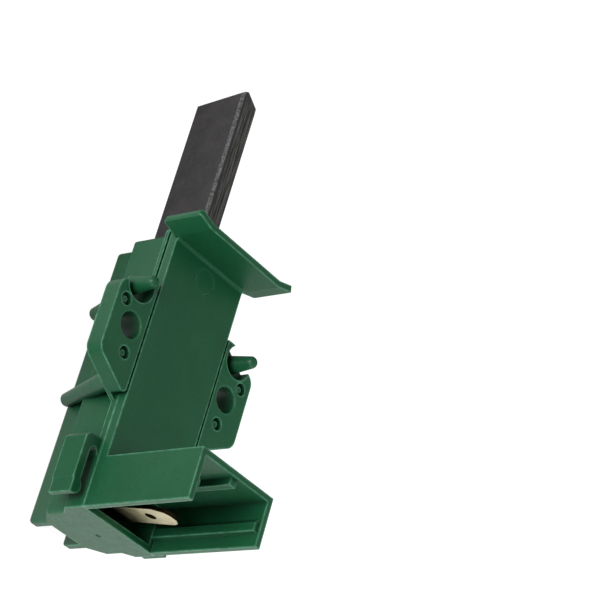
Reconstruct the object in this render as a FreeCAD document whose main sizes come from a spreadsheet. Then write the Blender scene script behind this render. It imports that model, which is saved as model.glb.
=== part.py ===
import FreeCAD, Part
import math
import os
import Sketcher

# Carbon brush of a small electric motor, in its moulded holder.
# Inside each body X runs across the holder, Y from the connector end to the brush tip,
# and Z out of the broad front face, which lies at zero. Lengths are in millimetres.

SIZES = {
    "cover_width": 20.4,
    "cover_thickness": 2.1,
    "body_length": 59.2,
    "body_depth": 20.4,
    "rim_depth": 3.6,
    "side_width": 17.8,
    "side_depth": 12.9,
    "rear_width": 12.0,
    "clip_block_length": 13.7,
    "clip_block_depth": 6.8,
    "ear_span": 39.8,
    "ear_thickness": 3.8,
    "ear_drop": 0.05,
    "ear_gap": 0.45,
    "ear_slit_depth": 0.8,
    "boss_diameter": 8.0,
    "boss_height": 2.0,
    "ear_hole_spacing": 28.8,
    "ear_hole_position": 35.2,
    "ear_hole_diameter": 5.2,
    "small_hole_diameter": 2.5,
    "pin_spacing": 30.4,
    "pin_position": 43.6,
    "pin_root_diameter": 3.7,
    "pin_tip_diameter": 2.5,
    "pin_height": 4.1,
    "notch_radius": 3.4,
    "bar_position": 25.3,
    "bar_root_diameter": 4.0,
    "bar_end_diameter": 2.7,
    "clip_span": 28.0,
    "clip_arm": 1.8,
    "clip_width": 5.5,
    "clip_free_end": 1.4,
    "shroud_reach": 23.5,
    "shroud_length": 10.1,
    "shroud_wall": 1.2,
    "rail_height": 1.0,
    "socket_depth": 8.0,
    "socket_wall": 1.3,
    "joint_slit": 0.55,
    "flange_position": 57.1,
    "flange_thickness": 1.3,
    "flange_reach": 9.1,
    "flange_lip": 3.9,
    "flange_flare": 1.1,
    "brush_width": 5.0,
    "brush_depth": 13.5,
    "brush_length": 40.0,
    "brush_tip": 97.6,
    "brush_chamfer": 0.9,
    "slide_clearance": 0.08,
    "guide_sheet": 0.4,
    "guide_seat": 0.04,
    "guide_end": 61.0,
    "guide_flare": 0.45,
    "cavity_start": 13.0,
    "spring_diameter": 4.4,
    "spring_wire": 0.6,
    "spring_turns": 5,
    "braid_diameter": 1.8,
    "tab_width": 6.3,
    "tab_thickness": 0.8,
    "tab_height": 10.5,
    "tab_position": 4.25,
    "tab_lean": 7.0,
    "tab_hole_diameter": 2.3,
}


class Size:
    """A number kept with the spreadsheet formula that drives it."""

    def __init__(self, text, value):
        self.text = text
        self.value = value

    def join(self, sign, other, value):
        return Size("(%s %s %s)" % (self.text, sign, other.text), value)

    def __add__(self, other):
        other = size(other)
        return self.join("+", other, self.value + other.value)

    def __sub__(self, other):
        other = size(other)
        return self.join("-", other, self.value - other.value)

    def __mul__(self, other):
        other = size(other)
        return self.join("*", other, self.value * other.value)

    def __truediv__(self, other):
        other = size(other)
        return self.join("/", other, self.value / other.value)

    def __neg__(self):
        return Size("(0 - %s)" % self.text, -self.value)


def size(item):
    if isinstance(item, Size):
        return item
    return Size("(%.6f)" % item, float(item))


def pair(low, high):
    return size(low), size(high)


doc = FreeCAD.newDocument("carbon_brush")
sheet = doc.addObject("Spreadsheet::Sheet", "Sizes")
dim = {}
for row, (alias, number) in enumerate(SIZES.items(), 1):
    sheet.set("A%d" % row, alias)
    sheet.set("B%d" % row, str(number))
    sheet.setAlias("B%d" % row, alias)
    dim[alias] = Size("Sizes." + alias, float(number))
doc.recompute()

# Lengths that follow from the sizes
cover_half = dim["cover_width"] / 2
side_half = dim["side_width"] / 2
rear_half = dim["rear_width"] / 2
step = side_half - rear_half
length = dim["body_length"]
joint_z = -dim["cover_thickness"]
guide_half = dim["brush_width"] / 2 + dim["slide_clearance"] + dim["guide_sheet"]
guide_top = joint_z - dim["guide_seat"]
brush_top = guide_top - dim["guide_sheet"] - dim["slide_clearance"]
brush_bottom = brush_top - dim["brush_depth"]
guide_bottom = brush_bottom - dim["slide_clearance"] - dim["guide_sheet"]
brush_rear = dim["brush_tip"] - dim["brush_length"]
tab_half = dim["tab_width"] / 2
tab_back = dim["tab_position"] + dim["tab_thickness"]
braid_z = brush_bottom + dim["brush_depth"] / 4
foot_half = dim["tab_width"] / 4
foot_end = dim["cavity_start"] + 2.5
foot_bottom = braid_z - dim["tab_thickness"] / 2
foot_top = braid_z + dim["tab_thickness"] / 2


def new_body(name, label):
    body = doc.addObject("PartDesign::Body", name)
    body.Label = label
    body.setExpression("Placement.Base.y", (-(dim["brush_tip"] / 2)).text)
    body.setExpression("Placement.Base.z", dim["body_depth"].text)
    return body


def finish(feature, grows=None):
    """Recomputes and checks that a cut took material away or an addition brought some."""
    body = feature.getParentGeoFeatureGroup()
    before = feature.BaseFeature.Shape.Volume if getattr(feature, "BaseFeature", None) else 0.0
    doc.recompute()
    if "Invalid" in feature.State or "Error" in feature.State or not feature.Shape.isValid():
        raise RuntimeError("%s in %s did not build" % (feature.Name, body.Name))
    after = feature.Shape.Volume
    if grows is True and after <= before:
        raise RuntimeError("%s in %s added nothing" % (feature.Name, body.Name))
    if grows is False and after >= before:
        raise RuntimeError("%s in %s cut nothing" % (feature.Name, body.Name))
    return feature


def bind(feature, **formulas):
    for name, value in formulas.items():
        feature.setExpression(name.replace("_", "."), size(value).text)


def place(feature, x, y, z):
    bind(feature, Placement_Base_x=x, Placement_Base_y=y, Placement_Base_z=z)


def block(body, name, add, x, y, z):
    """Box between two limits along each axis."""
    solid = body.newObject("PartDesign::%sBox" % ("Additive" if add else "Subtractive"), name)
    bind(solid, Length=x[1] - x[0], Width=y[1] - y[0], Height=z[1] - z[0])
    place(solid, x[0], y[0], z[0])
    return finish(solid, add)


def cone(body, name, add, at, radii, height, turn=0.0, axis=(0, 1, 0)):
    """Cone or cylinder along Z, turned by an angle about an axis through its foot."""
    kind = "Additive" if add else "Subtractive"
    if radii[0].text == radii[1].text:
        solid = body.newObject("PartDesign::%sCylinder" % kind, name)
        bind(solid, Radius=radii[0], Height=height)
    else:
        solid = body.newObject("PartDesign::%sCone" % kind, name)
        bind(solid, Radius1=radii[0], Radius2=radii[1], Height=height)
    turned = FreeCAD.Rotation(FreeCAD.Vector(*axis), size(turn).value)
    solid.Placement = FreeCAD.Placement(FreeCAD.Vector(), turned)
    if isinstance(turn, Size):
        bind(solid, Placement_Rotation_Angle=turn)
    place(solid, *at)
    return finish(solid, add)


def ball(body, name, at, radius):
    solid = body.newObject("PartDesign::AdditiveSphere", name)
    bind(solid, Radius=radius)
    place(solid, *at)
    return finish(solid, True)


def wedge(body, name, add, y, x, z, far_x, far_z):
    """Block whose section changes from one end to the other along Y."""
    solid = body.newObject("PartDesign::%sWedge" % ("Additive" if add else "Subtractive"), name)
    bind(solid, Xmin=x[0], Xmax=x[1], Ymin=y[0], Ymax=y[1], Zmin=z[0], Zmax=z[1],
         X2min=far_x[0], X2max=far_x[1], Z2min=far_z[0], Z2max=far_z[1])
    return finish(solid, add)


def sketch_on(body, name, plane, offset):
    """Empty sketch parallel to an origin plane; the offset runs along the plane's normal."""
    drawing = body.newObject("Sketcher::SketchObject", name)
    support = [item for item in body.Origin.OriginFeatures if item.Role == plane + "_Plane"][0]
    drawing.AttachmentSupport = (support, [""])
    drawing.MapMode = "FlatFace"
    bind(drawing, AttachmentOffset_Base_z=offset)
    return drawing


def fix_point(drawing, element, corner, point):
    for direction, value in (("DistanceX", size(point[0])), ("DistanceY", size(point[1]))):
        index = drawing.addConstraint(Sketcher.Constraint(direction, -1, 1, element, corner, value.value))
        drawing.setExpression("Constraints[%d]" % index, value.text)


def vector(point):
    return FreeCAD.Vector(size(point[0]).value, size(point[1]).value, 0)


def draw_outline(drawing, points):
    count = len(points)
    for i in range(count):
        line = Part.LineSegment(vector(points[i]), vector(points[(i + 1) % count]))
        drawing.addGeometry(line, False)
    for i in range(count):
        drawing.addConstraint(Sketcher.Constraint("Coincident", i, 2, (i + 1) % count, 1))
        fix_point(drawing, i, 1, points[i])


def draw_circle(drawing, centre, radius):
    element = drawing.addGeometry(Part.Circle(vector(centre), FreeCAD.Vector(0, 0, 1), radius.value), False)
    fix_point(drawing, element, 3, centre)
    index = drawing.addConstraint(Sketcher.Constraint("Radius", element, radius.value))
    drawing.setExpression("Constraints[%d]" % index, radius.text)


def draw_polygon(drawing, centre, radius, sides):
    """Regular outline inside a circle."""
    turns = [2 * math.pi * (i + 0.5) / sides for i in range(sides)]
    corners = [(round(math.cos(turn), 6), round(math.sin(turn), 6)) for turn in turns]
    draw_outline(drawing, [(radius * x + centre[0], radius * y + centre[1]) for x, y in corners])


def extrude(body, name, add, plane, limits, draw, *shape):
    """Pad or pocket of a drawing between two limits along the plane's own axis."""
    low, high = limits
    offset = low if add else high
    if plane == "XZ":
        offset = -high if add else -low
    drawing = sketch_on(body, name + "_outline", plane, offset)
    draw(drawing, *shape)
    doc.recompute()
    solid = body.newObject("PartDesign::Pad" if add else "PartDesign::Pocket", name)
    solid.Profile = drawing
    bind(solid, Length=high - low)
    drawing.Visibility = False
    return finish(solid, add)


def edges_through(feature, spots):
    """Names of the edges whose middle lies at one of the given points."""
    names = []
    for index, edge in enumerate(feature.Shape.Edges, 1):
        middle = edge.valueAt((edge.FirstParameter + edge.LastParameter) / 2)
        for spot in spots:
            if middle.distanceToPoint(FreeCAD.Vector(*[size(c).value for c in spot])) < 0.02:
                names.append("Edge%d" % index)
    if len(names) != len(spots):
        raise RuntimeError("edges not found on " + feature.Name)
    return names


def soften(body, name, kind, spots, amount):
    feature = body.Tip
    names = edges_through(feature, spots)
    solid = body.newObject("PartDesign::" + kind, name)
    solid.Base = (feature, names)
    bind(solid, **{"Radius" if kind == "Fillet" else "Size": amount})
    return finish(solid)


def mirrored(points):
    return points + [(-x, y) for x, y in reversed(points)]


def centred(half):
    return -half, half


# Housing: stepped trough with ears, locating pins, stays and spring clips

def add_ears(body, side):
    name = "left" if side < 0 else "right"
    outer = dim["ear_span"] / 2
    inner = cover_half + dim["ear_gap"]
    high = -dim["ear_drop"]
    low = high - dim["ear_thickness"]
    middle = (low + high) / 2
    centre = dim["ear_hole_position"]
    top = centre + 11.2
    upper_corner = centre + 6.9
    lower_corner = centre - 7.7
    root = side_half - 0.6
    slope = 0.58
    slope_end = lower_corner - (outer - root) * slope

    extrude(body, "ear_" + name, True, "XY", pair(low, high), draw_outline,
            [(root * side, top), ((inner + 1.8) * side, top), (outer * side, upper_corner),
             (outer * side, lower_corner), (root * side, slope_end)])
    soften(body, "ear_upper_round_" + name, "Fillet", [(outer * side, upper_corner, middle)], size(2.4))
    soften(body, "ear_lower_round_" + name, "Fillet", [(outer * side, lower_corner, middle)], size(2.6))
    boss = dim["boss_diameter"] / 2
    cone(body, "ear_boss_" + name, True,
         (dim["ear_hole_spacing"] / 2 * side, centre, low - dim["boss_height"]),
         (boss, boss), dim["boss_height"] + 0.1)
    slit = [cover_half, inner] if side > 0 else [-inner, -cover_half]
    slit_floor = joint_z - dim["ear_slit_depth"]
    block(body, "ear_slit_" + name, False, slit, pair(slope_end, top + 1), pair(slit_floor, 1))
    soften(body, "ear_inner_round_" + name, "Fillet",
           [(inner * side, lower_corner - (outer - inner) * slope, (slit_floor + high) / 2)], size(0.9))


def add_pin(body, side):
    name = "left" if side < 0 else "right"
    x = dim["pin_spacing"] / 2 * side
    y = dim["pin_position"]
    high = -dim["ear_drop"]
    floor = high - 2.0
    tip = dim["pin_tip_diameter"] / 2
    cone(body, "pin_notch_" + name, False, (x - 0.35 * side, y, floor),
         (dim["notch_radius"], dim["notch_radius"]), high - floor + 1)
    cone(body, "pin_" + name, True, (x, y, floor - 0.2), (dim["pin_root_diameter"] / 2, tip),
         dim["pin_height"] - tip - floor + 0.2)
    ball(body, "pin_tip_" + name, (x, y, dim["pin_height"] - tip), tip)


def cut_ear_holes(body, side):
    name = "left" if side < 0 else "right"
    high = -dim["ear_drop"]
    low = high - dim["ear_thickness"]
    x = dim["ear_hole_spacing"] / 2
    y = dim["ear_hole_position"]
    big = dim["ear_hole_diameter"] / 2
    small = dim["small_hole_diameter"] / 2
    floor = low - dim["boss_height"] - 1
    cone(body, "screw_hole_" + name, False, (x * side, y, floor), (big, big), high - floor + 1)
    cone(body, "screw_hole_rim_" + name, False, (x * side, y, high - 0.2), (big, big + 0.2), size(0.2))
    for number, (dx, dy) in enumerate(((3.0, 3.9), (-0.5, -5.6)), 1):
        spot = ((x + dx) * side, y + dy, high - 0.9)
        cone(body, "small_hole_%d_%s" % (number, name), False, spot, (small, small), size(1.4))
        cone(body, "hole_pip_%d_%s" % (number, name), True, spot, (small * 0.5, small * 0.5), size(0.4))


def add_stays(body, side):
    """Tapered round stays from behind the ear down the stepped side, almost to the rear face."""
    name = "left" if side < 0 else "right"
    root = dim["bar_root_diameter"] / 2
    end = dim["bar_end_diameter"] / 2
    start_z = -dim["ear_drop"] - dim["ear_thickness"] + 0.4
    end_z = size(0.85) - dim["body_depth"]
    fall = start_z - end_z
    lean = size(17.5)
    turn = 180 + lean.value * side
    reach = fall * round(1 / math.cos(math.radians(lean.value)), 6)
    shift = fall * round(math.tan(math.radians(lean.value)), 6)
    end_x = rear_half + 1.07
    for number, y in enumerate((dim["bar_position"], dim["pin_position"] + 0.7), 1):
        cone(body, "stay_%d_%s" % (number, name), True, ((end_x + shift) * side, y, start_z), (root, end),
             reach, turn)
        cone(body, "stay_end_%d_%s" % (number, name), True, (end_x * side, y, end_z), (end, end * 0.6),
             end * 0.45, turn)


def add_clip(body, side):
    """J-shaped spring clip with a bulge on the inner side of its free end."""
    name = "left" if side < 0 else "right"
    outer = dim["clip_span"] / 2
    inner = outer - dim["clip_arm"]
    root = dim["clip_block_length"]
    free = dim["clip_free_end"]
    wall = cover_half - 0.3
    gap = inner - cover_half
    end = root - 2.0
    arm = [(wall, root), (outer - 0.9, root), (outer, root - 0.9), (outer, free + 2.9),
           (outer - 0.25, free + 2.5), (outer - 0.25, free)]
    bulge = [(inner + 0.5, free), (inner - 0.35, free + 0.45), (inner - 0.75, free + 1.3),
             (inner - 0.65, free + 2.2), (inner, free + 3.1)]
    slot = [(inner, end - gap / 2), (inner - gap * 0.2, end - gap * 0.2), (inner - gap / 2, end),
            (inner - gap * 0.8, end - gap * 0.2), (cover_half, end - gap * 0.7), (wall, end - 1.8)]
    top = joint_z - 0.6
    extrude(body, "clip_" + name, True, "XY", pair(top - dim["clip_width"], top), draw_outline,
            [(x * side, y) for x, y in arm + bulge + slot])


def build_housing():
    body = new_body("Housing", "rear_housing")
    section = mirrored([(cover_half, joint_z), (cover_half, -dim["rim_depth"]),
                        (side_half, -dim["rim_depth"]), (side_half, -dim["side_depth"]),
                        (rear_half, -dim["side_depth"] - step), (rear_half, -dim["body_depth"])])
    extrude(body, "trough", True, "XZ", pair(0, length), draw_outline, section)
    ledge = dim["clip_block_depth"] + cover_half - side_half
    shoulder = mirrored([(cover_half, joint_z), (cover_half, -dim["clip_block_depth"]), (side_half, -ledge)])
    extrude(body, "clip_block", True, "XZ", pair(0, dim["clip_block_length"]), draw_outline, shoulder)
    slope_middle = (side_half + rear_half) / 2
    slope_z = -dim["side_depth"] - step / 2
    wall_z = -(dim["side_depth"] + step + dim["body_depth"]) / 2
    round_spots = [(0, length, -dim["body_depth"]), (0, 0, -dim["body_depth"])]
    for side in (-1, 1):
        round_spots += [(rear_half * side, length / 2, -dim["body_depth"]),
                        (side_half * side, length, -(dim["rim_depth"] + dim["side_depth"]) / 2),
                        (side_half * side, 0, -(ledge + dim["side_depth"]) / 2)]
        for y in (0, length):
            round_spots += [(slope_middle * side, y, slope_z), (rear_half * side, y, wall_z)]
    soften(body, "end_edges", "Fillet", round_spots, size(0.8))
    for side in (-1, 1):
        add_ears(body, side)
        add_stays(body, side)
        add_clip(body, side)
        add_pin(body, side)
        cut_ear_holes(body, side)
    block(body, "cover_seat", False, pair(*centred(cover_half + dim["ear_gap"])), pair(-1, length + 1),
          pair(joint_z, 1))
    seat = dim["guide_seat"]
    block(body, "guide_cavity", False, pair(*centred(guide_half + seat)),
          pair(dim["cavity_start"], length + 1), pair(guide_bottom - seat, joint_z + 1))
    block(body, "mouth_pocket", False, pair(*centred(rear_half - 1.3)), pair(length - 2.8, length + 1),
          pair(guide_bottom - 1.9, joint_z + 1))
    block(body, "socket_floor", False, pair(*centred(cover_half - dim["shroud_wall"] - 0.8)),
          pair(dim["socket_wall"], dim["shroud_length"] - dim["shroud_wall"]),
          pair(-dim["socket_depth"], joint_z + 1))
    block(body, "tab_slot", False, pair(*centred(tab_half + seat)),
          pair(dim["tab_position"] - seat, tab_back + seat), pair(foot_bottom - seat, joint_z + 1))
    block(body, "foot_slot", False, pair(*centred(foot_half + seat)), pair(tab_back, dim["cavity_start"] + 1),
          pair(foot_bottom - seat, joint_z + 1))
    for side, name in ((-1, "left"), (1, "right")):
        x = pair(cover_half - 0.7, cover_half + 1) if side > 0 else pair(-cover_half - 1, -cover_half + 0.7)
        block(body, "joint_slit_" + name, False, x, pair(dim["pin_position"] + 2.2, length + 1),
              pair(joint_z - dim["joint_slit"], joint_z + 1))
    block(body, "rear_channel", False, pair(*centred(rear_half - 2.0)), pair(-1, 10),
          pair(-dim["body_depth"] - 1, -dim["side_depth"] - step))
    cone(body, "gate_mark", False, (size(1.1), size(0.2), size(-8.3)), (size(0.45), size(0.7)), size(0.3),
         90.0, (1, 0, 0))
    return body


# Cover: broad plate with the connector shroud, its gusset and the flared flange

def build_cover():
    body = new_body("Cover", "front_cover")
    wall = dim["shroud_wall"]
    inside = cover_half - wall
    back = dim["shroud_length"] - wall
    block(body, "plate", True, pair(*centred(cover_half)), pair(0, length), pair(joint_z, 0))
    block(body, "shroud", True, pair(*centred(cover_half)), pair(0, dim["shroud_length"]),
          pair(joint_z, dim["shroud_reach"]))
    block(body, "shroud_space", False, pair(*centred(inside)), pair(-1, back),
          pair(joint_z - 1, dim["shroud_reach"] + 1))
    for side, name in ((-1, "left"), (1, "right")):
        crest = inside - dim["rail_height"]
        rail = [(inside + 0.2, 2.6), (crest, 2.7), (crest, 4.4), (inside + 0.2, 5.7)]
        extrude(body, "rail_" + name, True, "XY", pair(joint_z, dim["shroud_reach"] - 0.6), draw_outline,
                [(x * side, y) for x, y in rail])
    block(body, "centre_rib", True, pair(-0.8, 0.8), pair(back - 1.5, back + 0.2),
          pair(joint_z, dim["shroud_reach"] - 0.8))
    toe = dim["shroud_length"] + 2.9
    gusset = [(back + 0.4, -0.4), (toe, -0.4), (toe, 0.2), (dim["shroud_length"], 9.6), (back + 0.4, 9.6)]
    extrude(body, "gusset", True, "YZ", pair(-0.6, 0.6), draw_outline, gusset)
    near = dim["flange_position"]
    far = near + dim["flange_thickness"]
    bend = cover_half + 0.4
    lip = dim["flange_lip"]
    flare = dim["flange_flare"]
    front = (bend + lip + 0.15, near + flare)
    back = (bend + lip - 0.2, far + flare)
    profile = mirrored([(bend, near), (front[0] - 0.4, front[1] - 0.1), (front[0] - 0.1, front[1] + 0.35),
                        (back[0] + 0.1, back[1] - 0.35), (back[0] - 0.4, back[1] - 0.1), (bend - 0.2, far)])
    foot = size(-0.5)
    extrude(body, "flange", True, "XY", pair(foot, dim["flange_reach"]), draw_outline, profile)
    lip_middle = near + dim["flange_thickness"] / 2 + flare
    lip_end = bend + lip - 0.025
    corners = [(lip_end * side, lip_middle, z) for side in (-1, 1) for z in (foot, dim["flange_reach"])]
    soften(body, "flange_corners", "Fillet", corners, size(0.9))
    soften(body, "flange_root", "Fillet", [(0, near, 0)], size(0.8))
    ring = sketch_on(body, "witness_ring_outline", "XY", size(0))
    draw_circle(ring, (0, near - 4.0), size(2.65))
    draw_circle(ring, (0, near - 4.0), size(2.45))
    doc.recompute()
    groove = body.newObject("PartDesign::Pocket", "witness_ring")
    groove.Profile = ring
    bind(groove, Length=size(0.06))
    finish(groove, False)
    return body


# Guide: folded sheet channel with a flared and scalloped mouth

def build_guide():
    body = new_body("Guide", "brass_guide")
    sheet_in = dim["guide_sheet"]
    straight_end = length + 0.1
    x = pair(*centred(guide_half))
    z = pair(guide_bottom, guide_top)
    hollow_x = pair(*centred(guide_half - sheet_in))
    hollow_z = pair(guide_bottom + sheet_in, guide_top - sheet_in)

    def widened(limits, extra):
        return limits[0] - extra, limits[1] + extra

    flare = dim["guide_flare"]
    start = dim["cavity_start"]
    block(body, "tube", True, x, pair(start, straight_end), z)
    wedge(body, "mouth", True, pair(straight_end, dim["guide_end"]), x, z,
          widened(x, flare), widened(z, flare))
    block(body, "bore", False, hollow_x, pair(start - 1, straight_end), hollow_z)
    wedge(body, "mouth_bore", False, pair(straight_end, dim["guide_end"]), hollow_x, hollow_z,
          widened(hollow_x, flare), widened(hollow_z, flare))
    scallop = size(7.0)
    middle = (guide_top + guide_bottom) / 2
    cone(body, "scallop", False, (-guide_half - 1, dim["guide_end"] - 3.0 + scallop, middle - 0.6),
         (scallop, scallop), (guide_half + 1) * 2, 90.0)
    return body


# Brush: pressed carbon block with chamfered edges and a bevelled running face

def build_brush():
    body = new_body("Brush", "carbon_brush")
    half = dim["brush_width"] / 2
    tip = dim["brush_tip"]
    cut = dim["brush_chamfer"]
    section = mirrored([(half - cut, brush_top), (half, brush_top - cut), (half, brush_bottom + cut),
                        (half - cut, brush_bottom)])
    extrude(body, "block", True, "XZ", pair(brush_rear, tip), draw_outline, section)
    slope = dim["brush_depth"] * 0.09
    extrude(body, "lengthwise_bevel", False, "YZ", pair(-half - 1, half + 1), draw_outline,
            [(tip, brush_top), (tip + 2, brush_top), (tip + 2, brush_bottom), (tip - slope, brush_bottom)])
    fall = dim["brush_width"] * 0.52
    extrude(body, "cross_bevel", False, "XY", pair(brush_bottom - 1, brush_top + 1), draw_outline,
            [(-half + cut, tip), (half, tip - fall), (half + 1, tip + 2), (-half + cut, tip + 2)])
    extrude(body, "corner_cut", False, "YZ", pair(-half - 1, half + 1), draw_outline,
            [(tip + 2, brush_bottom + 0.6), (tip - slope + 0.1, brush_bottom + 0.6),
             (tip - slope - 0.6, brush_bottom), (tip + 2, brush_bottom - 1)])
    middle = (brush_top + brush_bottom) / 2
    corners = [(-half, tip - slope / 2, middle), (half, tip - fall, middle)]
    soften(body, "tip_corners", "Fillet", corners, size(0.7))
    return body


# Spring: open coil behind the brush

def build_spring():
    body = new_body("Spring", "pressure_spring")
    wire = dim["spring_wire"] / 2
    coil = dim["spring_diameter"] / 2 - wire
    start = dim["cavity_start"] + 0.02
    height = brush_rear - start - dim["spring_wire"] - 0.02
    drawing = sketch_on(body, "wire_outline", "YZ", size(0))
    bind(drawing, AttachmentOffset_Base_x=start + wire,
         AttachmentOffset_Base_y=brush_top - dim["brush_depth"] * 0.27)
    draw_polygon(drawing, (0, coil), wire, 5)
    doc.recompute()
    helix = body.newObject("PartDesign::AdditiveHelix", "coil")
    helix.Profile = drawing
    helix.ReferenceAxis = (drawing, ["H_Axis"])
    helix.Mode = "pitch-height-angle"
    bind(helix, Pitch=height / dim["spring_turns"], Height=height)
    finish(helix, True)
    return body


# Braid: copper lead that runs in slack waves from the terminal foot to the brush

def build_braid():
    body = new_body("Braid", "copper_braid")
    waves = 4
    chord = (brush_rear - foot_end) / waves
    radius = chord * 0.95
    path = sketch_on(body, "braid_path", "YZ", size(0))
    rise = math.sqrt(0.95 * 0.95 - 0.25)
    for i in range(waves):
        up = 1 if i % 2 == 0 else -1
        first = foot_end + chord * i
        last = foot_end + chord * (i + 1)
        middle = first + chord / 2
        centre = FreeCAD.Vector(middle.value, braid_z.value - up * rise * chord.value, 0)
        swing = math.asin(0.5 / 0.95)
        turn = math.pi / 2 if up > 0 else -math.pi / 2
        circle = Part.Circle(centre, FreeCAD.Vector(0, 0, 1), radius.value)
        element = path.addGeometry(Part.ArcOfCircle(circle, turn - swing, turn + swing), False)
        ends = (last, first) if up > 0 else (first, last)
        fix_point(path, element, 1, (ends[0], braid_z))
        fix_point(path, element, 2, (ends[1], braid_z))
        index = path.addConstraint(Sketcher.Constraint("Radius", element, radius.value))
        path.setExpression("Constraints[%d]" % index, radius.text)
    ring = sketch_on(body, "braid_outline", "XZ", -foot_end)
    draw_polygon(ring, (0, braid_z), dim["braid_diameter"] / 2, 5)
    doc.recompute()
    pipe = body.newObject("PartDesign::AdditivePipe", "lead")
    pipe.Profile = ring
    pipe.Spine = path
    finish(pipe, True)
    return body


# Terminal: flat tab in the shroud on a narrow foot that leads to the braid

def build_terminal():
    body = new_body("Terminal", "brass_terminal")
    floor = -dim["socket_depth"]
    stretch = round(1 / math.cos(math.radians(dim["tab_lean"].value)), 6)
    bend = floor - 0.2
    reach = (dim["tab_height"] - bend) * stretch
    block(body, "root", True, pair(*centred(tab_half)), pair(dim["tab_position"], tab_back),
          pair(foot_bottom, floor))
    block(body, "foot", True, pair(*centred(foot_half)), pair(dim["tab_position"], foot_end),
          pair(foot_bottom, foot_top))

    def leaning(name):
        drawing = sketch_on(body, name, "XZ", -tab_back)
        turned = FreeCAD.Rotation(FreeCAD.Vector(1, 0, 0), dim["tab_lean"].value)
        drawing.AttachmentOffset = FreeCAD.Placement(FreeCAD.Vector(0, 0, 0), turned)
        bind(drawing, AttachmentOffset_Base_y=bend, AttachmentOffset_Base_z=-tab_back,
             AttachmentOffset_Rotation_Angle=dim["tab_lean"])
        return drawing

    outline = leaning("blade_outline")
    draw_outline(outline, [(-tab_half, 0), (tab_half, 0), (tab_half, reach - 2.2),
                           (tab_half - 0.5, reach - 1.0), (tab_half - 2.0, reach),
                           (-tab_half + 2.6, reach), (-tab_half + 1.2, reach - 0.6),
                           (-tab_half, reach - 2.9)])
    doc.recompute()
    blade = body.newObject("PartDesign::Pad", "blade")
    blade.Profile = outline
    bind(blade, Length=dim["tab_thickness"])
    finish(blade, True)
    ring = leaning("tab_hole_outline")
    draw_circle(ring, (0, reach - 5.65), dim["tab_hole_diameter"] / 2)
    doc.recompute()
    hole = body.newObject("PartDesign::Pocket", "tab_hole")
    hole.Profile = ring
    hole.Midplane = True
    bind(hole, Length=dim["tab_thickness"] * 3)
    finish(hole, False)
    return body


parts = [build_housing(), build_cover(), build_guide(), build_brush(), build_spring(), build_braid(),
         build_terminal()]
doc.recompute()
os.makedirs("parts", exist_ok=True)
for item in doc.Objects:
    if "Invalid" in item.State or "Error" in item.State:
        raise RuntimeError(item.Name + " is not valid")
for body in parts:
    if not body.Shape.isValid() or len(body.Shape.Solids) != 1:
        raise RuntimeError(body.Label + " is not one valid solid")
    body.Shape.exportStep("parts/%s.step" % body.Label)
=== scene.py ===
import math

import bpy
from mathutils import Euler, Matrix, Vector

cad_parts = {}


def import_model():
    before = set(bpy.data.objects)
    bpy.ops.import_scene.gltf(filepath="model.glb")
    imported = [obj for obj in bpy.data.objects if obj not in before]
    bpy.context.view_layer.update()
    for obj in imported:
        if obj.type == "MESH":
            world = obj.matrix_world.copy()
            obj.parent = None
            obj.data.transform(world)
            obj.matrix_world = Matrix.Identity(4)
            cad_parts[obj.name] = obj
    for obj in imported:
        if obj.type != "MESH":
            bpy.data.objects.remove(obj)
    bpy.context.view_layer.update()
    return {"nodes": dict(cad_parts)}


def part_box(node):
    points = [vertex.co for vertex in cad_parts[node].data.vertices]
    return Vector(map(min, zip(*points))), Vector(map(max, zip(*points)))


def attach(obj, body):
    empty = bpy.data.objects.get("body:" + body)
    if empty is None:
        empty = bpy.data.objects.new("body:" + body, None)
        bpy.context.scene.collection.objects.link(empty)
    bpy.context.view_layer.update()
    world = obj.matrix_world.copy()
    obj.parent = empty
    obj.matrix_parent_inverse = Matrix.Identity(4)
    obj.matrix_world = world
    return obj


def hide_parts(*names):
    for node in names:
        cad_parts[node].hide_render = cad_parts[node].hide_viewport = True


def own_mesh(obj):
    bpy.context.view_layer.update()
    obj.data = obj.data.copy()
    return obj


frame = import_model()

# Carbon brush in its moulded holder, lying on its rear face. Lengths are in metres, in the CAD frame.

nodes = frame["nodes"]
MM = 0.001

# Colours, linear
GREEN = (0.0070, 0.1000, 0.0370)
GREEN_DEEP = (0.0056, 0.0860, 0.0320)
GREEN_SHADE = (0.0020, 0.0330, 0.0120)
# Pale green of the painted edge highlight, partly rubbed plastic
GREEN_EDGE = (0.0900, 0.3000, 0.1750)
GREEN_SPECK = (0.1200, 0.3200, 0.2100)
CARBON = (0.0245, 0.0238, 0.0245)
CARBON_WARM = (0.0340, 0.0285, 0.0295)
CARBON_DARK = (0.0150, 0.0148, 0.0155)
CARBON_RUBBED = (0.1150, 0.1100, 0.0980)
# Pale grey of scratches, and of the painted highlight along the chamfers and edges
CARBON_WEAR_AND_HIGHLIGHT = (0.1900, 0.1900, 0.1920)
BRASS_PALE = (0.6300, 0.5600, 0.3600)
BRASS_BROWN = (0.0600, 0.0400, 0.0170)
BRASS_GOLD = (0.6900, 0.5000, 0.2000)
STEEL = (0.4300, 0.4300, 0.4400)
COPPER = (0.6000, 0.2500, 0.1300)
FLOOR = (0.9000, 0.9000, 0.9000)
WHITE = (1.0, 1.0, 1.0)

# Braid: the strands' lean in degrees and the scale of their pattern
STRAND_LEAN = 38
STRAND_SCALE = 900

# Camera, as in the photograph: its place, its turn in degrees, its lens and sensor in millimetres
CAMERA_PLACE = (-0.26422, -0.19607, 0.30950)
CAMERA_TURN = (10.3926, -50.4300, 22.7489)
CAMERA_LENS = 137.16
CAMERA_SENSOR = 36.0

# Lamps, floor and world
LAMP_TARGET = (0.0, 0.0, 20 * MM)
FLOOR_HALF = 3.0
FLOOR_DROP = 0.02 * MM
FLOOR_GLOW = 1.25
FLOOR_GLOW_SHARE = 0.74
WORLD_STRENGTH = 0.22

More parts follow.
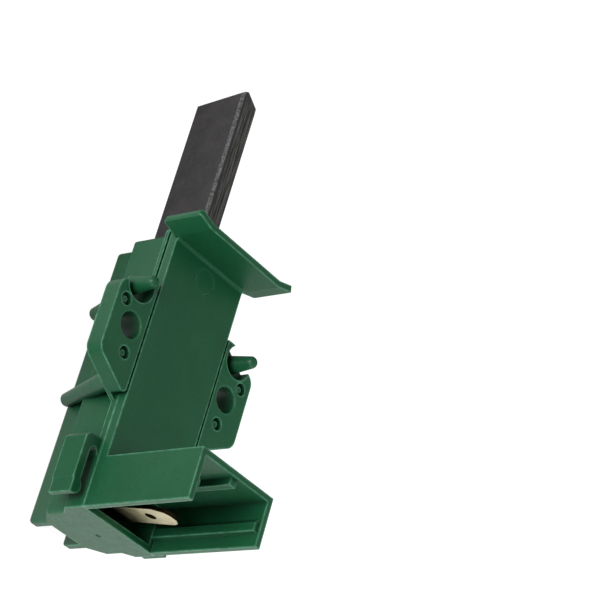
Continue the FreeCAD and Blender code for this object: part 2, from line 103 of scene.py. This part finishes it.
# Rays that each point sends out to find hollows and edges, and to round an edge
OCCLUSION_SAMPLES = 8
BEVEL_SAMPLES = 6

# Sockets of the Mix node when it mixes colours
MIX_SHARE = 0
MIX_FIRST = 6
MIX_SECOND = 7
MIX_RESULT = 2


class Material:
    """A node material that is built by short calls."""

    def __init__(self, name):
        self.data = bpy.data.materials.new(name)
        self.data.use_nodes = True
        self.tree = self.data.node_tree
        self.shader = self.tree.nodes["Principled BSDF"]
        coordinates = self.add("ShaderNodeTexCoord")
        self.place = coordinates.outputs["Object"]
        self.facing = coordinates.outputs["Normal"]

    def add(self, kind, **settings):
        node = self.tree.nodes.new(kind)
        for key, value in settings.items():
            setattr(node, key, value)
        return node

    def join(self, source, target):
        """Link a socket to the target, or set the target to a colour or a number."""
        if hasattr(source, "is_output"):
            self.tree.links.new(source, target)
        elif isinstance(source, tuple):
            target.default_value = (*source, 1.0)
        else:
            target.default_value = source

    def give(self, name, value):
        """Set one of the shader's own sockets."""
        self.join(value, self.shader.inputs[name])

    def mapped(self, stretch=(1.0, 1.0, 1.0), turn=(0.0, 0.0, 0.0)):
        """The place on the object, scaled and turned."""
        node = self.add("ShaderNodeMapping")
        self.join(self.place, node.inputs["Vector"])
        node.inputs["Scale"].default_value = stretch
        node.inputs["Rotation"].default_value = turn
        return node.outputs["Vector"]

    def noise(self, scale, detail, roughness=0.5, **mapping):
        """Cloudy pattern from zero to one, finer with a larger scale."""
        node = self.add("ShaderNodeTexNoise")
        self.join(self.mapped(**mapping), node.inputs["Vector"])
        node.inputs["Scale"].default_value = scale
        node.inputs["Detail"].default_value = detail
        node.inputs["Roughness"].default_value = roughness
        return node.outputs["Fac"]

    def ramp(self, value, low, high, out_low=0.0, out_high=1.0):
        """The value carried from one range to another, and held at its ends."""
        node = self.add("ShaderNodeMapRange")
        self.join(value, node.inputs["Value"])
        self.join(low, node.inputs["From Min"])
        self.join(high, node.inputs["From Max"])
        self.join(out_low, node.inputs["To Min"])
        self.join(out_high, node.inputs["To Max"])
        return node.outputs["Result"]

    def part(self, vector, axis):
        """One of a vector's three numbers."""
        node = self.add("ShaderNodeSeparateXYZ")
        self.join(vector, node.inputs["Vector"])
        return node.outputs[axis]

    def math(self, kind, *values):
        node = self.add("ShaderNodeMath", operation=kind)
        for value, socket in zip(values, node.inputs):
            self.join(value, socket)
        return node.outputs["Value"]

    def plus(self, first, second):
        return self.math("ADD", first, second)

    def times(self, first, second):
        return self.math("MULTIPLY", first, second)

    def larger(self, first, second):
        return self.math("MAXIMUM", first, second)

    def unsigned(self, value):
        return self.math("ABSOLUTE", value)

    def mix(self, share, first, second):
        """The first colour at a share of zero, the second at one."""
        node = self.add("ShaderNodeMix", data_type="RGBA")
        self.join(share, node.inputs[MIX_SHARE])
        self.join(first, node.inputs[MIX_FIRST])
        self.join(second, node.inputs[MIX_SECOND])
        return node.outputs[MIX_RESULT]

    def edges(self, reach, low, high):
        """One along the outward edges, zero on the faces and in the hollows."""
        node = self.add("ShaderNodeAmbientOcclusion", samples=OCCLUSION_SAMPLES, inside=True, only_local=True)
        node.inputs["Distance"].default_value = reach
        return self.ramp(node.outputs["AO"], low=high, high=low)

    def hollows(self, reach, low, high):
        """One in deep hollows, zero in the open."""
        node = self.add("ShaderNodeAmbientOcclusion", samples=OCCLUSION_SAMPLES)
        node.inputs["Distance"].default_value = reach
        return self.ramp(node.outputs["AO"], low=high, high=low)

    def relief(self, height, depth, strength=1.0, rounding=0.0):
        """Fine bumps, on edges that look rounded by the given radius."""
        node = self.add("ShaderNodeBump")
        node.inputs["Distance"].default_value = depth
        node.inputs["Strength"].default_value = strength
        self.join(height, node.inputs["Height"])
        if rounding:
            bevel = self.add("ShaderNodeBevel", samples=BEVEL_SAMPLES)
            bevel.inputs["Radius"].default_value = rounding
            self.join(bevel.outputs["Normal"], node.inputs["Normal"])
        self.give("Normal", node.outputs["Normal"])


def lengthwise(share):
    """Stretch of a pattern that is drawn out along the brush."""
    return (1.0, share, 1.0)


def shaded(colour, share):
    """A darker tone of a colour."""
    return tuple(part * share for part in colour)


def green_plastic():
    """Cloudy, grainy plastic, with painted shade in its hollows and corners, and a pale band along its edges
    that is partly rubbed plastic and partly a painted highlight.
    """
    made = Material("green_plastic")
    cloud = made.noise(scale=160, detail=3)
    flow = made.noise(scale=700, detail=3, stretch=lengthwise(0.3))
    mottle = made.noise(scale=1900, detail=4, roughness=0.65)
    grain = made.noise(scale=3600, detail=4, roughness=0.6)
    specks = made.ramp(made.noise(scale=2600, detail=2), low=0.70, high=0.80)
    stains = made.ramp(made.noise(scale=2100, detail=3), low=0.40, high=0.28)
    wear_and_highlight_patches = made.ramp(made.noise(scale=700, detail=3), low=0.32, high=0.62, out_low=0.35)

    tone = made.plus(cloud, made.times(mottle, 1.2))
    body = made.mix(made.ramp(tone, low=0.85, high=1.35), GREEN_DEEP, GREEN)
    body = made.mix(made.times(specks, 0.4), body, GREEN_SPECK)
    body = made.mix(made.times(stains, 0.5), body, GREEN_SHADE)

    # Painted shade: the colour turns darker in corners, creases and hollows, where shade falls
    crevice_shade = made.times(made.hollows(reach=1.7 * MM, low=0.35, high=0.86), 0.80)
    cave_shade = made.times(made.hollows(reach=16 * MM, low=0.12, high=0.78), 0.75)
    body = made.mix(made.larger(cave_shade, crevice_shade), body, GREEN_SHADE)

    # Painted highlight: a pale band along the outward edges, where rounded edges catch the light, partly
    # rubbed plastic; broken into patches and held back in pits
    pit = made.hollows(reach=3.5 * MM, low=0.40, high=0.85)
    edge = made.edges(reach=0.45 * MM, low=0.60, high=0.92)
    edge = made.times(edge, made.ramp(pit, low=0.0, high=1.0, out_low=1.0, out_high=0.12))
    made.give("Base Color", made.mix(made.times(edge, wear_and_highlight_patches), body, GREEN_EDGE))

    gloss = made.plus(made.times(flow, 0.4), made.times(mottle, 0.6))
    made.give("Roughness", made.ramp(gloss, low=0.35, high=0.65, out_low=0.37, out_high=0.52))
    made.give("IOR", 1.46)
    height = made.plus(grain, made.times(flow, 0.5))
    made.relief(height, depth=0.015 * MM, strength=0.6, rounding=0.14 * MM)
    return made.data


def carbon():
    """Pressed block: mottled broad sides, lined and scratched narrow sides, dark chamfers, and a pale band
    along the chamfers' outer part and the edges, partly rubbed carbon and partly a painted highlight.
    """
    made = Material("carbon")
    lines = made.noise(scale=3600, detail=4, roughness=0.7, stretch=lengthwise(0.03))
    grain = made.noise(scale=7000, detail=4, roughness=0.65)
    cloud = made.noise(scale=260, detail=4)
    blotch = made.noise(scale=900, detail=5, roughness=0.7, stretch=lengthwise(0.6))
    rub = made.noise(scale=1900, detail=5, roughness=0.8)
    patch = made.noise(scale=1700, detail=5, roughness=0.8)
    scratch = made.noise(scale=1500, detail=2, stretch=(1.0, 0.04, 0.04), turn=(0.0, 0.0, 0.9))

    broad = made.mix(made.ramp(blotch, low=0.42, high=0.62, out_high=0.75), CARBON, CARBON_DARK)
    broad = made.mix(made.ramp(cloud, low=0.45, high=0.62, out_high=0.8), broad, CARBON_WARM)
    broad = made.mix(made.ramp(rub, low=0.54, high=0.70, out_high=0.32), broad, CARBON_RUBBED)
    narrow = made.mix(made.ramp(lines, low=0.46, high=0.56), CARBON_DARK, CARBON_RUBBED)
    on_narrow = made.ramp(made.unsigned(made.part(made.facing, "Z")), low=0.80, high=0.97)
    face = made.mix(on_narrow, broad, narrow)
    scratch = made.times(made.ramp(scratch, low=0.66, high=0.74),
                         made.ramp(on_narrow, low=0.0, high=1.0, out_low=0.15, out_high=0.7))
    face = made.mix(scratch, face, CARBON_WEAR_AND_HIGHLIGHT)

    slope = made.unsigned(made.times(made.part(made.facing, "X"), made.part(made.facing, "Z")))
    chamfer = made.ramp(slope, low=0.30, high=0.46)
    face = made.mix(chamfer, face, CARBON_DARK)
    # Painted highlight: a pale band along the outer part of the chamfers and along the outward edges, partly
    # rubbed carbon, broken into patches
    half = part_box("carbon_brush")[1][0]
    outer = made.ramp(made.unsigned(made.part(made.place, "X")), low=half - 0.62 * MM, high=half - 0.45 * MM)
    rim = made.larger(made.times(chamfer, outer), made.edges(reach=0.30 * MM, low=0.62, high=0.90))
    rim_wear_and_highlight = made.times(rim, made.ramp(patch, low=0.42, high=0.58, out_low=0.15))
    made.give("Base Color", made.mix(rim_wear_and_highlight, face, CARBON_WEAR_AND_HIGHLIGHT))

    made.give("Roughness", made.ramp(grain, low=0.3, high=0.7, out_low=0.48, out_high=0.66))
    height = made.plus(made.times(lines, 0.8), grain)
    made.relief(height, depth=0.020 * MM, strength=0.8, rounding=0.20 * MM)
    return made.data


def metal(name, colour, dull, stretch=(1.0, 1.0, 0.05), browned=False):
    """Metal with fine lines. A browned one is brown in its corners and on its cut edges, and has painted
    shade far inside its hollows.
    """
    made = Material(name)
    lines = made.noise(scale=4200, detail=3, stretch=stretch)
    cloud = made.noise(scale=380, detail=3)
    body = made.mix(made.ramp(cloud, low=0.3, high=0.7), shaded(colour, 0.82), colour)
    if browned:
        # Painted shade: the brass turns brown far inside hollows, where shade falls on the tab's base
        deep = made.hollows(reach=15 * MM, low=0.14, high=0.46)
        corner = made.hollows(reach=1.5 * MM, low=0.45, high=0.85)
        cut_edge = made.ramp(made.unsigned(made.part(made.facing, "Y")), low=0.8, high=0.5)
        for brown_mask in (deep, corner, cut_edge):
            body = made.mix(brown_mask, body, BRASS_BROWN)
    made.give("Base Color", body)
    made.give("Metallic", 1.0)
    made.give("Roughness", made.ramp(lines, low=0.3, high=0.7, out_low=dull - 0.08, out_high=dull + 0.1))
    made.relief(lines, depth=0.006 * MM, strength=0.5, rounding=0.10 * MM)
    return made.data


def braided_copper():
    """Two sets of strands that cross."""
    made = Material("braided_copper")
    strands = []
    for side in (1, -1):
        wave = made.add("ShaderNodeTexWave", wave_type="BANDS", bands_direction="X")
        leaning = made.mapped(turn=(0.0, 0.0, math.radians(STRAND_LEAN * side)))
        made.join(leaning, wave.inputs["Vector"])
        wave.inputs["Scale"].default_value = STRAND_SCALE
        strands.append(wave.outputs["Fac"])
    weave = made.larger(*strands)
    made.give("Base Color", made.mix(weave, shaded(COPPER, 0.45), COPPER))
    made.give("Metallic", 1.0)
    made.give("Roughness", 0.35)
    made.relief(weave, depth=0.08 * MM)
    return made.data


def dress(finish, *names):
    for name in names:
        mesh = nodes[name].data
        mesh.materials.clear()
        mesh.materials.append(finish)


def new_object(name, data):
    made = bpy.data.objects.new(name, data)
    bpy.context.scene.collection.objects.link(made)
    return made


def spring_back(name, node):
    """A copy of the node's own form, fixed to the holder; the node itself is hidden."""
    made = new_object(name, nodes[node].data.copy())
    made.matrix_world = nodes[node].matrix_world
    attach(made, "holder")
    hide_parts(node)
    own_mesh(made)


def camera():
    data = bpy.data.cameras.new("camera")
    data.sensor_width = CAMERA_SENSOR
    data.lens = CAMERA_LENS
    made = new_object("camera", data)
    made.location = CAMERA_PLACE
    made.rotation_euler = Euler([math.radians(angle) for angle in CAMERA_TURN])
    bpy.context.scene.camera = made


def lamp(name, direction, distance, width, power, glossy=True):
    """A soft round lamp that the camera doesn't see."""
    data = bpy.data.lights.new(name, "AREA")
    data.shape = "DISK"
    data.size = width
    data.energy = power
    made = new_object(name, data)
    away = Vector(direction).normalized()
    made.location = Vector(LAMP_TARGET) + away * distance
    made.rotation_mode = "QUATERNION"
    made.rotation_quaternion = away.to_track_quat("Z", "Y")
    made.visible_camera = False
    made.visible_glossy = glossy


def floor_finish():
    """White to the camera. It also glows in the object's reflections, more in some places than others: a
    painted reflection that gives the object's sides and end wall a paler sheen.
    """
    made = Material("floor")
    made.give("Base Color", FLOOR)
    made.give("Roughness", 0.9)
    made.give("Specular IOR Level", 0.0)
    # Painted reflection: how strongly the floor glows in the object's reflections, graded by place on the
    # floor
    across = made.part(made.place, "X")
    along = made.part(made.place, "Y")
    ahead = made.ramp(along, low=20 * MM, high=-65 * MM, out_low=0.27, out_high=1.35)
    beside = made.ramp(along, low=-30 * MM, high=8 * MM, out_low=0.30, out_high=0.95)
    left = made.ramp(across, low=-12 * MM, high=-22 * MM)
    right = made.math("SUBTRACT", 1.0, left)
    sheen = made.plus(made.times(left, beside), made.times(right, ahead))

    path = made.add("ShaderNodeLightPath")
    seen = made.times(path.outputs["Is Camera Ray"], FLOOR_GLOW_SHARE)
    mirrored = path.outputs["Is Glossy Ray"]
    glow = made.add("ShaderNodeEmission")
    strength = made.ramp(mirrored, low=0.0, high=1.0, out_low=FLOOR_GLOW, out_high=sheen)
    made.join(strength, glow.inputs["Strength"])
    blend = made.add("ShaderNodeMixShader")
    parts = (made.larger(seen, mirrored), made.shader.outputs["BSDF"], glow.outputs["Emission"])
    for part, socket in zip(parts, blend.inputs):
        made.join(part, socket)
    made.join(blend.outputs["Shader"], made.tree.nodes["Material Output"].inputs["Surface"])
    return made.data


def floor():
    """A large square just below the object's rear face."""
    corners = [(FLOOR_HALF * x, FLOOR_HALF * y, -FLOOR_DROP) for x, y in ((-1, -1), (1, -1), (1, 1), (-1, 1))]
    mesh = bpy.data.meshes.new("floor")
    mesh.from_pydata(corners, [], [(0, 1, 2, 3)])
    mesh.materials.append(floor_finish())
    made = new_object("floor", mesh)


def world():
    made = bpy.data.worlds.new("world")
    made.use_nodes = True
    background = made.node_tree.nodes["Background"]
    background.inputs["Color"].default_value = (*WHITE, 1.0)
    background.inputs["Strength"].default_value = WORLD_STRENGTH
    bpy.context.scene.world = made


dress(green_plastic(), "rear_housing", "front_cover")
dress(carbon(), "carbon_brush")
dress(metal("tab_brass", BRASS_PALE, dull=0.38, browned=True), "brass_terminal")
dress(metal("guide_brass", BRASS_GOLD, dull=0.30, stretch=lengthwise(0.05)), "brass_guide")
dress(metal("spring_steel", STEEL, dull=0.30), "pressure_spring")
dress(braided_copper(), "copper_braid")
spring_back("coil_spring", "pressure_spring")
spring_back("braided_lead", "copper_braid")

camera()
lamp("key", direction=(-0.93, -0.22, 0.25), distance=0.7, width=0.45, power=3.9)
lamp("end", direction=(0.05, -0.95, 0.28), distance=0.7, width=0.45, power=1.5)
lamp("top", direction=(0.48, 0.42, 0.90), distance=0.8, width=0.5, power=0.28)
lamp("side", direction=(0.85, -0.25, 0.45), distance=0.15, width=0.10, power=0.12, glossy=False)
floor()
world()
bpy.context.scene.view_settings.view_transform = "Standard"
